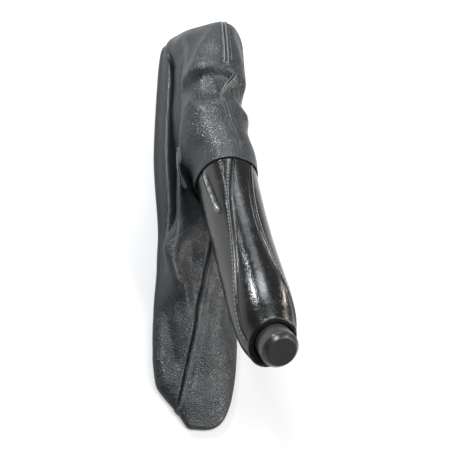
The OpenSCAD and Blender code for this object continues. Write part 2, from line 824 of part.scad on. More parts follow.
// Moulded core under the leather, bored for the tube, the rod and the button
module grip_core() {
  clip_room = button_guide_l + button_travel + clip_land + cut_over;
  rod_room = 1.5;
  color([0.12, 0.12, 0.12]) difference() {
    lever_frame() {
      ring_solid([for (i = [0:grip_rings]) [for (a = [0:9:351])
        grip_point(i * grip_len / grip_rings, a, leather_t + glue_t)]]);
      neck_bar(collar_x - neck_l, collar_x + cut_over, neck_inset);
    }
    lever_frame() rod_bar(collar_x - neck_l - cut_over, tube_end, tube_r);
    lever_frame() rod_bar(tube_end - cut_over, rod_front + rod_r, rod_r + rod_room);
    button_frame() {
      translate([0, 0, -head_depth])
        cylinder(r = button_r + button_gap, h = head_depth + button_out);
      translate([0, 0, -head_depth - clip_room])
        cylinder(r = stem_r + guide_wall, h = clip_room + cut_over);
    }
  }
}

module grip_top_leather() {
  color([0.13, 0.13, 0.13]) grip_panel(seam_right, seam_left, 12);
}

module grip_left_leather() {
  color([0.1, 0.1, 0.1]) grip_panel(seam_left, [for (a = seam_s) under], 14);
}

module grip_right_leather() {
  color([0.1, 0.1, 0.1]) grip_panel([for (a = seam_s) -under], seam_right, 14);
}

module button_guide() {
  color([0.85, 0.85, 0.8]) button_frame() translate([0, 0, guide_top - button_guide_l])
    difference() {
      cylinder(r = stem_r + guide_wall, h = button_guide_l);
      translate([0, 0, -cut_over])
        cylinder(r = stem_r + run_clear, h = button_guide_l + 2 * cut_over);
    }
}

// Band that grips the gaiter's turned end on the neck
module gaiter_clamp() {
  band_gap = 3;
  band_x = collar_x - band_gap - clamp_w;
  band_inset = gaiter_t + part_clear - collar_step;
  color([0.15, 0.15, 0.15]) lever_frame() difference() {
    neck_bar(band_x, band_x + clamp_w, band_inset);
    neck_bar(band_x - cut_over, band_x + clamp_w + cut_over, neck_inset);
  }
}

clip_top = guide_top - button_guide_l - part_clear;
clip_t = 1;
clip_groove = 1;
clip_ring = 1.8;
stem_bevel = 0.6;

module release_button() {
  head_low = -button_in;
  color([0.16, 0.16, 0.16]) button_frame() rotate_extrude() polygon([
    [0, -stem_l],
    [stem_r - stem_bevel, -stem_l],
    [stem_r, -stem_l + stem_bevel],
    [stem_r, clip_top - clip_t],
    [stem_r - clip_groove, clip_top - clip_t],
    [stem_r - clip_groove, clip_top],
    [stem_r, clip_top],
    [stem_r, head_low],
    [button_r, head_low],
    [button_r, button_out - button_bevel],
    [button_r - button_bevel, button_out],
    [0, button_out]
  ]);
}

module button_clip() {
  inner = stem_r - clip_groove;
  color("silver") button_frame() translate([0, 0, clip_top - clip_t])
    linear_extrude(clip_t) difference() {
      circle(r = stem_r + clip_ring);
      circle(r = inner);
      translate([-inner * 0.8, 0]) square([inner * 1.6, stem_r + 2 * clip_ring]);
    }
}

module release_rod() {
  color("silver") lever_frame() {
    rod_bar(rod_back, rod_front, rod_r);
    for (x = [rod_back, rod_front])
      translate([x, 0, rod_h]) sphere(r = rod_r);
  }
}

module spring_seat() {
  seat_t = 3;
  seat_clear = 0.6;
  x0 = spring_start + spring_l;
  x1 = x0 + seat_t;
  color("gray") lever_frame() difference() {
    rod_bar(x0, x1, tube_bore - seat_clear);
    rod_bar(x0 - cut_over, x1 + cut_over, rod_r);
  }
}

module return_spring() {
  room = wire_r + part_clear;
  color("silver") lever_frame() translate([spring_start + room, 0, rod_h]) rotate([0, 90, 0])
    coil(coil_r, wire_r, coil_turns, spring_l - 2 * room);
}

// Rocker with a pad under the rod and a tooth outside the quadrant
module pawl() {
  tip_r = sector_r + part_clear;
  tip = tip_r * [cos(-pawl_nose_a), sin(-pawl_nose_a)];
  nose_d = 5;
  nose_r = 2.6;
  heel_a = 3 - pawl_nose_a;
  toe_a = -5 - pawl_nose_a;
  heel = (tip_r + nose_d) * [cos(heel_a), sin(heel_a)];
  toe = (tip_r + nose_d) * [cos(toe_a), sin(toe_a)];
  root = [pawl_x, pawl_z];
  color("gray") lever_frame() difference() {
    slab(-pawl_t / 2, pawl_t) {
      strap(root, pawl_root_r, [pawl_x, rod_h], pawl_pad_r);
      strap(root, pawl_root_r, (heel + toe) / 2, nose_r);
      polygon([tip, toe, heel]);
    }
    cross_bar(root, pawl_pin_r + run_clear, -pawl_t, pawl_t);
  }
}

// Swivelling cross bar with the hole for the cable's end
module cable_trunnion() {
  body_y = arm_in - part_clear;
  color("silver") difference() {
    union() {
      intersection() {
        cross_bar(trunnion_at, trunnion_r, -body_y, body_y);
        translate([trunnion_at[0] - trunnion_flat, -body_y, 0])
          cube([2 * trunnion_flat, 2 * body_y, 2 * pivot_h]);
      }
      cross_bar(trunnion_at, journal_r, -arm_out, arm_out);
    }
    translate([trunnion_at[0] - 2 * trunnion_r, 0, trunnion_at[1]])
      rotate([0, 90, 0])
        cylinder(r = cable_r, h = 4 * trunnion_r);
  }
}

mounting_bracket();
ratchet_sector();
sector_rivets();
pivot_pin();
pivot_circlip();
pivot_washers();
stop_pin();
stop_buffer();
gaiter_frame();
gaiter_left();
gaiter_right();
lever_arm();
pivot_bush();
lever_tube();
pawl_pin();
pawl_spacers();
pawl_spring();
rod_guide_rear();
spring_stop();
rod_guide_front();
grip_core();
grip_top_leather();
grip_left_leather();
grip_right_leather();
button_guide();
gaiter_clamp();
release_button();
button_clip();
release_rod();
spring_seat();
return_spring();
pawl();
cable_trunnion();
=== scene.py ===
import json
import math

import bpy
import numpy as np
from mathutils import Matrix, Vector, noise


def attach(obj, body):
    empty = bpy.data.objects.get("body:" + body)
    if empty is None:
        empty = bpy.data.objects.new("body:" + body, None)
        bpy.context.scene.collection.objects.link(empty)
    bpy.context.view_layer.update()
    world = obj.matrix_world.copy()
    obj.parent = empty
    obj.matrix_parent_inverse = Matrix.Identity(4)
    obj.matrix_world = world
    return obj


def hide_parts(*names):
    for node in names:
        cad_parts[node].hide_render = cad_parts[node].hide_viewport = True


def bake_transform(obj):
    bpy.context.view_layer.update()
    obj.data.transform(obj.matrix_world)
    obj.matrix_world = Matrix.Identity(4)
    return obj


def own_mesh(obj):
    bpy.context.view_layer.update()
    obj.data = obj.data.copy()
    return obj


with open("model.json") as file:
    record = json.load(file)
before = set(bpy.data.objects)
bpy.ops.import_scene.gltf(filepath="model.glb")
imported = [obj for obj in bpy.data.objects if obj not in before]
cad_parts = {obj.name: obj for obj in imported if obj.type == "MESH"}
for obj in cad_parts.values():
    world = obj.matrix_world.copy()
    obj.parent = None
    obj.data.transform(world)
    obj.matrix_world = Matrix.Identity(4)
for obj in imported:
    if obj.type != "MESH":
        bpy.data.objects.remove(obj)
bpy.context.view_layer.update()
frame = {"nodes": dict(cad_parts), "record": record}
MM = 0.001


# Shapes shared with the solids, in millimetres

def ease(q):
    q = np.clip(q, 0, 1)
    return q * q * (3 - 2 * q)


def bell(x, width):
    return np.exp(-(x / width) ** 2)


def between(x, start, rise, end, fall):
    """1 between start and end, fading in over rise and out over fall."""
    return ease((x - start) / rise) * ease((end - x) / fall)


def curve(ts, vs, t):
    """Smooth curve through the values vs at the places ts."""
    ts, vs, t = np.asarray(ts, float), np.asarray(vs, float), np.asarray(t, float)
    if vs.ndim == 1:
        return curve(ts, vs[:, None], t)[..., 0]
    chord = (vs[1:] - vs[:-1]) / (ts[1:] - ts[:-1])[:, None]
    slope = np.vstack([chord[:1], (chord[1:] + chord[:-1]) / 2, chord[-1:]])
    i = np.clip(np.searchsorted(ts, t, side="right") - 1, 0, len(ts) - 2)
    h = ts[i + 1] - ts[i]
    q, h = ((t - ts[i]) / h)[..., None], h[..., None]
    return ((2 * q**3 - 3 * q**2 + 1) * vs[i] + (q**3 - 2 * q**2 + q) * h * slope[i]
            + (3 * q**2 - 2 * q**3) * vs[i + 1] + (q**3 - q**2) * h * slope[i + 1])


def oval(a, n):
    """Rounded oval of power n at the angle a, from -1 to 1 both ways."""
    c, s = np.cos(a), np.sin(a)
    d = (np.abs(c) ** n + np.abs(s) ** n) ** (1 / n)
    return c / d, s / d


PITCH = math.radians(20.5)
PIVOT_H = 20.0


def lever_to_world(x, y, z):
    """From the lever's own frame, with x along the tube, to the frame of the part at rest."""
    c, s = math.cos(PITCH), math.sin(PITCH)
    return np.stack([x * c - z * s, y, PIVOT_H + x * s + z * c], -1)


def unit(p):
    return p / np.maximum(np.linalg.norm(p, axis=-1, keepdims=True), 1e-9)


# Gaiter

LEAN, SKEW, SLEEVE_H, SLEEVE_W = 5.0, 4.5, 64.0, 26.5
HEM_FRONT, HEM_BACK, HEM_W, HEM_Z, CORNER_CUT = 247.0, -72.0, 36.0, 4.2, 24.0
COLLAR_TOP, COLLAR_LOW = (67.12, 80.33), (84.28, 34.43)
CUFF_TOP, CUFF_LOW = (55.53, 77.06), (73.39, 29.29)


def loop(back, top, front, low, side, half, powers):
    """Row of LOOPS, with the ends as shares of the way from the collar to the hem."""
    x0 = HEM_BACK + back * (COLLAR_TOP[0] - HEM_BACK)
    x1 = COLLAR_LOW[0] + front * (HEM_FRONT - COLLAR_LOW[0])
    return (x0, top, x1, low, *side, *half, *powers)


# Loops from the collar to the hem: x and z behind, x and z in front, sideways shift behind and in
# front, half width on the right and left, and powers of the oval behind, right and left
LOOP_V = [0, 0.06, 0.2, 0.36, 0.52, 0.68, 0.84, 1]
LOOPS = np.array([
    (*COLLAR_TOP, *COLLAR_LOW, 0, 0, 23, 23, 2.2, 2.2, 2.2),
    (*CUFF_TOP, *CUFF_LOW, 0, 0, 24, 24, 2.2, 2.2, 2.2),
    loop(0.72, SLEEVE_H + 6, -0.065, 24.43, (-0.7 * LEAN, -0.6 * LEAN),
         (SLEEVE_W + 0.5, SLEEVE_W - 2.5), (2.4, 2.3, 2.3)),
    loop(0.44, SLEEVE_H + 2.5, 0.01, 26.43, (-LEAN, -0.4 * LEAN),
         (SLEEVE_W + 2.5, SLEEVE_W - 2.5), (2.4, 2.4, 2.4)),
    loop(0.18, SLEEVE_H - 2, 0.175, 28.43, (-0.8 * LEAN, 0.6 * SKEW),
         (SLEEVE_W + 4.5, SLEEVE_W - 2.5), (2.5, 2.5, 2.5)),
    loop(0.02, SLEEVE_H - 13, 0.41, 23.43, (-0.4 * LEAN, 0.8 * SKEW),
         (SLEEVE_W + 6, SLEEVE_W), (3.0, 2.6, 2.6)),
    loop(-0.03, SLEEVE_H * 0.43, 0.7, 13.08, (-0.2 * LEAN, SKEW),
         (SLEEVE_W + 7.5, SLEEVE_W + 2.5), (9, 2.7, 3)),
    loop(0, HEM_Z, 1, HEM_Z, (0, SKEW), (HEM_W, HEM_W), (9, 3.2, 4)),
])
HEM_FROM = 0.6
WAIST_X, WAIST_IN, WAIST_L = HEM_BACK + 0.6 * (HEM_FRONT - HEM_BACK), 4.5, 50
SKEW_X, SKEW_L = 30, 100
CORNER_X, CORNER_L = HEM_FRONT - 29, 30
# Hollow above the hem: depth, loop and spread, then where it begins and ends along the hem
HOLLOW_IN, HOLLOW_V, HOLLOW_W = 12, 0.925, 0.04
HOLLOW_X = (HEM_BACK + 7, 40, WAIST_X + 25, 60)
# Gutter on the right, between the sleeve and a raised rim
GUTTER_X = (HEM_BACK + 9, 25, 122, 50)
GUTTER_D, GUTTER_V, GUTTER_W = 9.0, 0.9, 0.038
WALL_IN, WALL_V, WALL_W, WALL_MORE, WALL_L = 6.0, 0.82, 0.1, 1.3, 60
RIM_H, RIM_V, RIM_W, RIM_END = 6.5, 0.968, 0.021, 0.02


def gaiter_point(v, a):
    """Point on the plain gaiter: v runs from the collar to the hem, a round it from behind,
    and is positive on the left."""
    a = (a + math.pi) % (2 * math.pi) - math.pi
    (x_back, z_back, x_front, z_front, y_back, y_front, half_right, half_left,
     back_power, right_power, left_power) = np.moveaxis(curve(LOOP_V, LOOPS, v), -1, 0)
    left = a > 0
    k0, k1 = oval(a, np.where(np.cos(a) > 0, back_power, np.where(left, left_power, right_power)))
    x = (x_back + x_front) / 2 + (x_back - x_front) / 2 * k0
    z = (z_back + z_front) / 2 + (z_back - z_front) / 2 * k0
    near_hem = ease((v - HEM_FROM) / (1 - HEM_FROM))
    mid = y_back * (1 + k0) / 2 + y_front * (1 - k0) / 2
    mid = mid + (SKEW * ease((x - SKEW_X) / SKEW_L) - mid) * near_hem
    half = np.where(left, half_left, half_right)
    half = half - WAIST_IN * bell(x - WAIST_X, WAIST_L) * near_hem
    half = half - np.where(left, 0.0, CORNER_CUT * ease((x - CORNER_X) / CORNER_L)) * near_hem
    hollow = HOLLOW_IN * bell(v - HOLLOW_V, HOLLOW_W) * between(x, *HOLLOW_X)
    half = half - hollow * np.where(left, 0.5, 1.0)
    gutter = np.where(left, 0.0, -k1) * between(x, *GUTTER_X)
    half = half - WALL_IN * (1 + WALL_MORE * ease(x / WALL_L)) * bell(v - WALL_V, WALL_W) * gutter
    rim = RIM_H * bell(v - RIM_V, RIM_W) - GUTTER_D * bell(v - GUTTER_V, GUTTER_W)
    z = z + gutter * rim * ease((1 - v) / RIM_END)
    return np.stack([x, mid + half * k1, z], -1)


# Sideways place of the seams, of the upper one from the top of the loops and of the front one from
# the middle, and how far round the loops each is searched, in how many halvings
TOP_SEAM = ([0, 0.14, 0.23, 0.279, 0.325, 0.37, 0.38, 0.392, 0.42, 1],
            [0, 0, -2.0, -4.0, 2.2, 8.0, 8.0, 0.4, 0.0, 0])
FRONT_SEAM = ([0, 0.45, 0.55, 0.66, 0.775, 0.862, 0.967, 1],
              [0, 1.5, 3.9, 0.8, -2.1, -5.1, -8.7, -9.3])
SEAM_REACH, SEAM_STEPS = 1.3, 40


def seam_angle(v, seam, front):
    """Angle at which the loops reach the seam's sideways place."""
    target = curve(*seam, v)
    if not front:
        target = target + curve(LOOP_V, LOOPS, v)[..., 4]
    mid, reach = (math.pi, -SEAM_REACH) if front else (0.0, SEAM_REACH)
    low, high = np.full(v.shape, mid - reach), np.full(v.shape, mid + reach)
    for _ in range(SEAM_STEPS):
        a = (low + high) / 2
        under = gaiter_point(v, a)[..., 1] < target
        low, high = np.where(under, a, low), np.where(under, high, a)
    return (low + high) / 2


# Main dents and swellings, also in the solids: loop, angle, reach and height
DENTS = [
    (0.407, -57, 12, -5.0), (0.303, -21, 11, -6.0), (0.329, 4.5, 9, -3.5),
    (0.337, 38, 10, -5.5), (0.553, 69, 13, -6.5),
    (0.818, -117, 12, 4.0), (0.733, -141, 11, 4.0),
    (0.625, -160, 12, -4.0), (0.715, -169.5, 11, -3.5),
]
# Softer ones, in the scene alone: the rear corners, and the top of the right flap
SOFT_DENTS = [
    (0.95, -43, 9, 2.0), (0.865, -42, 12, -1.5), (0.765, -34, 18, -6.2),
    (0.69, 10, 14, 2.6), (0.733, -141, 11, -2.4),
]
# Folds: points on the plain surface, height, and the widths on the left and right of the line
GAITER_FOLDS = [
    # the big dent: the valley of the seam, the lap beside it and the swelling in the middle
    ([(-13, 4, 65), (-4, -1, 66), (4, -5, 67), (13, -9, 68)], -2.6, 3.5, 4.0),
    ([(-4, -19, 65), (3, -14, 67), (11, -11, 68), (20, -9, 69)], 1.8, 4.0, 8.0),
    ([(13, -30, 52), (23, -28, 60), (28, -20, 66), (31, -8, 70)], 1.2, 6.0, 6.0),
    ([(-16, 12, 61), (-10, 18, 58), (-4, 21, 50), (0, 22, 40)], 1.8, 5, 6),
    ([(20, 10, 67), (22, 17, 62), (24, 21, 52)], 1.6, 5, 6),
    # ridge and hollow of the right flap
    ([(96, -30, 20), (119, -28, 19), (140, -21, 22), (158, -12, 21), (172, -8, 18)], 2.6, 5, 7),
    ([(112, -14, 29), (135, -8, 26), (160, -3, 21)], -1.2, 6, 6),
    ([(160, -27, 12), (178, -23, 13), (199, -17, 11), (214, -13, 8)], -2.4, 5, 7),
    ([(196, -25, 9), (212, -21, 7), (224, -16, 6)], 1.2, 6, 6),
    # the left lobe and the hidden left side
    ([(150, 14, 22), (180, 12, 17), (210, 8, 11)], 1.2, 10, 10),
    ([(120, 22, 24), (150, 26, 18), (185, 28, 12)], -1.6, 9, 9),
    ([(-30, 24, 40), (0, 26, 34), (35, 26, 36)], -2.0, 8, 9),
    ([(-50, 22, 30), (-20, 29, 24), (25, 29, 22)], 1.4, 8, 8),
    # behind
    ([(-70, -12, 38), (-73, -2, 36), (-71, 10, 38)], -1.2, 6, 6),
    ([(-60, 16, 46), (-45, 20, 48), (-28, 22, 46)], -1.3, 6, 7),
    ([(-66, -16, 34), (-52, -22, 36), (-36, -26, 36)], -1.5, 6, 7),
]
# Edge behind the big dent, which the leather drops from
LEDGE = [(-1, -33, 36), (-8, -32, 45), (-11, -28, 58), (-13, -17, 65), (-15, -4, 66), (-14, 8, 64)]
LEDGE_H, LEDGE_W, LEDGE_DROP, LEDGE_BACK = 1.8, 9, 3.4, 1.6
# Fade at both ends of a fold: least length, share of the fold, and what is left at the very end
FADE_L, FADE_SHARE, FADE_START = 6.0, 0.25, 0.1


def beside(points, normals, line):
    """Distance to a line of points, its side from -1 to 1 on the left, and the fade at its ends."""
    line = np.array(line, float)
    seg = line[1:] - line[:-1]
    length = np.linalg.norm(seg, axis=1)
    along0 = np.concatenate([[0], np.cumsum(length)])
    best = np.full(points.shape[:-1], 1e9)
    side = np.zeros(points.shape[:-1])
    along = np.zeros(points.shape[:-1])
    for i in range(len(seg)):
        rel = points - line[i]
        t = np.clip((rel @ seg[i]) / length[i] ** 2, 0, 1)
        off = rel - t[..., None] * seg[i]
        d = np.linalg.norm(off, axis=-1)
        near = d < best
        best = np.where(near, d, best)
        along = np.where(near, along0[i] + t * length[i], along)
        across = unit(np.cross(normals, seg[i]))
        side = np.where(near, (across * off).sum(-1) / np.maximum(d, 1e-6), side)
    fade = max(FADE_L, FADE_SHARE * along0[-1])
    ends = ease(along / fade + FADE_START) * ease((along0[-1] - along) / fade + FADE_START)
    return best, side, ends


def fold(points, normals, line, w_left, w_right):
    """Share of a fold's height at points, from 0 to 1 on its line."""
    d, side, ends = beside(points, normals, line)
    return bell(d, w_right + (w_left - w_right) * (0.5 + 0.5 * side)) * ends


def ledge(points, normals):
    """Swelling behind the ledge and a drop before it that runs out slowly."""
    d, side, ends = beside(points, normals, LEDGE)
    ahead = -d * side
    drop = LEDGE_H - LEDGE_DROP * ease(ahead / 6) + LEDGE_BACK * ease((ahead - 5) / 8)
    return ends * np.where(ahead < 0, LEDGE_H * bell(ahead, LEDGE_W), drop)


def wobble(points, scale, seed):
    """Soft noise at points in millimetres, from -1 to 1."""
    flat = points.reshape(-1, 3) / scale + seed
    return np.array([noise.noise(Vector(p)) for p in flat]).reshape(points.shape[:-1])


def grid_normals(p):
    """Outward normals of a grid whose rows run away from the collar and columns leftwards."""
    return unit(np.cross(np.gradient(p, axis=1), np.gradient(p, axis=0)))


def steady(normals, rounds=40):
    """Directions of a grid evened out with their neighbours."""
    for _ in range(rounds):
        n = np.pad(normals, ((1, 1), (1, 1), (0, 0)), mode="edge")
        normals = unit(2 * normals + n[:-2, 1:-1] + n[2:, 1:-1] + n[1:-1, :-2] + n[1:-1, 2:])
    return normals


def arc(p):
    """Distance along each row from its first column."""
    step = np.linalg.norm(np.diff(p, axis=1), axis=-1)
    return np.concatenate([np.zeros((len(p), 1)), np.cumsum(step, axis=1)], axis=1)


def crowded(n, k=0.6):
    """Places from 0 to 1, closer together at both ends."""
    t = np.linspace(0, 1, n)
    return t - k * np.sin(2 * math.pi * t) / (2 * math.pi)


def new_object(name, points, faces):
    """Object in the scene from points in millimetres."""
    mesh = bpy.data.meshes.new(name)
    mesh.from_pydata((np.array(points) * MM).tolist(), [], faces)
    obj = bpy.data.objects.new(name, mesh)
    bpy.context.scene.collection.objects.link(obj)
    return obj


def sewn_sheet(name, outer, inner, lips, body=None, wear_and_highlight=None):
    """Closed mesh from an outer and an inner grid, with rounded rows between their ends.
    lips gives the extra rows at the first and at the last row of the grid."""
    first, last = lips
    rows = [*outer, *last, *inner[::-1], *first]
    p = np.array(rows)
    n, cols = p.shape[:2]
    i, j = np.meshgrid(np.arange(n), np.arange(cols - 1), indexing="ij")
    k = (i + 1) % n
    quads = np.stack([i * cols + j, i * cols + j + 1, k * cols + j + 1, k * cols + j], -1)
    faces = [tuple(q) for q in quads.reshape(-1, 4)]
    count, extra = len(outer), len(last)
    for c, flip in ((0, False), (cols - 1, True)):
        for r in range(count - 1):
            back = 2 * count + extra - 1 - r
            f = (r * cols + c, (r + 1) * cols + c, (back - 1) * cols + c, back * cols + c)
            faces.append(f[::-1] if flip else f)
        end = [count - 1 + q for q in range(extra + 2)]
        start = [2 * count + extra - 1 + q for q in range(len(first) + 1)] + [0]
        for ring in (end, start):
            f = tuple(r * cols + c for r in ring)
            if len(set(f)) > 2:
                faces.append(f[::-1] if flip else f)
    obj = new_object(name, p.reshape(-1, 3), faces)
    mesh = obj.data
    inside = np.zeros(len(faces), np.int32)
    per = cols - 1
    inside[(count + extra) * per:(2 * count + extra - 1) * per] = 1
    mesh.polygons.foreach_set("material_index", inside)
    mesh.validate()
    mesh.shade_smooth()
    rest = mesh.attributes.new("rest", "FLOAT_VECTOR", "POINT")
    co = np.empty(len(mesh.vertices) * 3, np.float32)
    mesh.vertices.foreach_get("co", co)
    rest.data.foreach_set("vector", co)
    # paler places kept on the mesh: partly wear, partly painted highlight
    if wear_and_highlight is not None:
        wear_and_highlight_share = np.zeros(len(mesh.vertices), np.float32)
        wear_and_highlight_share[:wear_and_highlight.size] = wear_and_highlight.ravel()
        mesh.attributes.new("wear_and_highlight", "FLOAT", "POINT").data.foreach_set("value", wear_and_highlight_share)
    if body:
        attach(obj, body)
    return obj


def line_beside_edge(p, normals, offset, from_end=False):
    """Points and normals of a grid at a distance from its first or last column."""
    q = p[:, ::-1] if from_end else p
    nn = normals[:, ::-1] if from_end else normals
    d = arc(q)
    points, norms = [], []
    for r in range(len(q)):
        c = np.interp(offset, d[r], np.arange(q.shape[1]))
        i = min(int(c), q.shape[1] - 2)
        f = c - i
        points.append(q[r, i] * (1 - f) + q[r, i + 1] * f)
        norms.append(nn[r, i] * (1 - f) + nn[r, i + 1] * f)
    return np.array(points), unit(np.array(norms))


THREAD_RINGS, THREAD_SIDES = 7, 8
THREAD_SINK, THREAD_DIP, THREAD_TAPER = 0.15, 2.2, 0.82
THREAD_FLAT, THREAD_TILT = 0.8, 0.12


def stitches(name, points, normals, length, gap, radius, until=1.0):
    """Row of sewn threads along a line, each dipping into the leather at both ends.
    The row stops at a share of the line."""
    step = np.linalg.norm(np.diff(points, axis=0), axis=1)
    s = np.concatenate([[0], np.cumsum(step)])
    verts, faces = [], []
    rings, sides = THREAD_RINGS, THREAD_SIDES
    rng = np.random.default_rng(len(points))
    start = gap
    while start + length < s[-1]:
        where = start + np.linspace(0, length, rings)
        start += length + gap
        if where[rings // 2] / s[-1] > until:
            break
        at = np.stack([np.interp(where, s, points[:, k]) for k in range(3)], -1)
        up = unit(np.stack([np.interp(where, s, normals[:, k]) for k in range(3)], -1))
        ahead = unit(np.gradient(at, axis=0))
        side = unit(np.cross(up, ahead))
        q = np.linspace(-1, 1, rings)
        rise = radius * (1.0 - THREAD_DIP * q**4) - THREAD_SINK * radius
        thick = radius * np.sqrt(1 - THREAD_TAPER * q**6)
        tilt = rng.uniform(-THREAD_TILT, THREAD_TILT) * length
        base = len(verts)
        for r in range(rings):
            mid = at[r] + up[r] * rise[r] + side[r] * tilt * q[r] * 0.5
            for k in range(sides):
                a = 2 * math.pi * k / sides
                verts.append(mid + thick[r] * (math.cos(a) * side[r]
                                               + math.sin(a) * up[r] * THREAD_FLAT))
        for r in range(rings - 1):
            for k in range(sides):
                n = (k + 1) % sides
                faces.append((base + r * sides + k, base + r * sides + n,
                              base + (r + 1) * sides + n, base + (r + 1) * sides + k))
        faces.append(tuple(base + k for k in range(sides))[::-1])
        faces.append(tuple(base + (rings - 1) * sides + k for k in range(sides)))
    obj = new_object(name, verts, faces)
    obj.data.validate()
    obj.data.shade_smooth()
    return obj


GAITER_ROWS, GAITER_COLS, ROW_CROWD = 190, 230, 0.25
# Upper seam: a furrow between two raised strips, and the trough of the stitches on the left; the
# strips are painted paler, partly for wear and partly as painted highlight
STRIP_OFF, STRIP_H, STRIP_W, STRIP_WEAR_HIGHLIGHT_W = 1.5, 0.8, 0.75, 0.7
FURROW_D, FURROW_W = 1.2, 0.65
STITCH_OFF, STITCH_D, STITCH_W = 4.6, 0.4, 0.7
SEAM_FAINT, SEAM_GAP_V, SEAM_GAP_W = 0.1, 0.386, 0.013
# Front seam: the overlap and from which loop on, the left panel's edge and the step under it, and
# the edge's paler tone, partly wear and partly painted highlight
LAP, LAP_FROM, LAP_OVER = 3.0, 0.45, 0.1
EDGE_OFF, EDGE_H, EDGE_W, EDGE_D, EDGE_ROUND = 2.8, 1.6, 3.4, 0.5, 0.6
EDGE_WEAR_HIGHLIGHT, EDGE_WEAR_HIGHLIGHT_OFF = 0.3, 1.6
STEP_D, STEP_W = 1.7, 2.0
# Uneven leather: height, size and seed of each noise
CALM_WAVES, FINE_WAVE = [(0.55, 26, 3.1), (0.3, 11, 7.7)], (0.07, 3.2, 1.9)
LEATHER_T, COLLAR_T = 1.4, 1.0
# Hem: share of the way down and how far out, on the outside and back up on the inside
SKIRT = [(0.25, 0.7), (0.55, 1.15), (0.85, 1.25), (1.0, 0.95),
         (1.0, 0.25), (0.7, 0.0), (0.35, -0.05)]
HEM_GAP, HEM_WAVE = 0.5, (0.15, 30, 2.2)


def lap(v):
    """Share of the front seam's overlap."""
    return ease((v - LAP_FROM) / LAP_OVER)


def gaiter_panel(side):
    """Outer and inner grid, normals, lips and paler places, partly wear and partly painted
    highlight, of one panel.
    side is 1 for the left one, -1 for the right."""
    v = crowded(GAITER_ROWS, ROW_CROWD)
    top = seam_angle(v, TOP_SEAM, False)
    front = seam_angle(v, FRONT_SEAM, True)
    lo, hi = (top, front) if side > 0 else (front - 2 * math.pi, top)
    if side < 0:
        lo = lo - LAP / curve(LOOP_V, LOOPS, v)[..., 6] * lap(v)
    f = crowded(GAITER_COLS)
    a = lo[:, None] + (hi - lo)[:, None] * f
    vv = np.broadcast_to(v[:, None], a.shape)
    base = gaiter_point(vv, a)
    normals = grid_normals(base)
    d = arc(base)
    d_end = d[:, -1:] - d
    d_top, d_front = (d, d_end) if side > 0 else (d_end, d - LAP * lap(vv))
    firm = steady(normals)
    dents = np.zeros(base.shape)
    for dent_v, dent_a, reach, height in DENTS + SOFT_DENTS:
        place = gaiter_point(np.array(dent_v), np.array(math.radians(dent_a)))
        share = bell(np.linalg.norm(base - place, axis=-1), reach)[..., None]
        dents += height * share * unit((share * firm).sum((0, 1)))
    move = ledge(base, normals)
    for line, height, w_left, w_right in GAITER_FOLDS:
        move += height * fold(base, normals, line, w_left, w_right)
    # twin needle seam on top: a furrow between two raised, stitched strips
    top_on = ease((vv - 0.015) / 0.03) * (SEAM_FAINT + (1 - SEAM_FAINT) * ease((vv - 0.24) / 0.06))
    top_on = top_on * (1 - bell(vv - SEAM_GAP_V, SEAM_GAP_W))
    move += top_on * (STRIP_H * bell(d_top - STRIP_OFF, STRIP_W) - FURROW_D * bell(d_top, FURROW_W))
    if side > 0:
        move -= top_on * STITCH_D * bell(d_top - STITCH_OFF, STITCH_W)
    # raised strips painted paler: partly wear, partly painted highlight
    wear_and_highlight = top_on * bell(d_top - STRIP_OFF, STRIP_WEAR_HIGHLIGHT_W)
    # lapped seam in front: the left panel's turned edge lies on the right panel
    front_on = ease((vv - 0.42) / 0.16)
    if side > 0:
        move += front_on * (EDGE_H * bell(d_front - EDGE_OFF, EDGE_W)
                            - EDGE_D * bell(d_front, EDGE_ROUND))
        # turned edge painted paler: partly wear, partly painted highlight
        wear_and_highlight = wear_and_highlight + EDGE_WEAR_HIGHLIGHT * front_on * bell(d_front - EDGE_WEAR_HIGHLIGHT_OFF, 1.0)
    else:
        move -= front_on * STEP_D * np.where(d_front < 0, 1.0, bell(d_front, STEP_W))
    calm = ease(vv / 0.1) * ease((1 - vv) / 0.05)
    move += calm * sum(height * wobble(base, size, seed) for height, size, seed in CALM_WAVES)
    height, size, seed = FINE_WAVE
    move += height * wobble(base, size, seed)
    outer = base + (dents + firm * move[..., None]) * ease(vv / 0.03)[..., None]
    normals = grid_normals(outer)
    thick = COLLAR_T + (LEATHER_T - COLLAR_T) * ease(vv / 0.06)
    inner = outer - normals * thick[..., None]
    # the turned collar, a little over the grip
    ahead = unit(outer[0] - outer[3])
    inward = -normals[0]
    collar = [inner[0] + ahead * 1.6, inner[0] + ahead * 2.3 - inward * 0.25,
              outer[0] + ahead * 2.35 + inward * 0.3, outer[0] + ahead * 1.7]
    # the hem runs down over the frame's edge
    outward = unit(normals[-1] * [1, 1, 0])
    height, size, seed = HEM_WAVE
    low = HEM_GAP + height * wobble(outer[-1], size, seed)
    fall = (outer[-1, :, 2] - low)[:, None] * np.array([0, 0, -1.0])
    skirt = [outer[-1] + outward * out + fall * share for share, out in SKIRT]
    return outer, inner, normals, (collar, skirt), wear_and_highlight


def smooth_by_angle(obj, degrees):
    """Smooth shading with sharp edges above an angle."""
    mesh = obj.data
    mesh.shade_smooth()
    mesh.set_sharp_from_angle(angle=math.radians(degrees))


# Materials

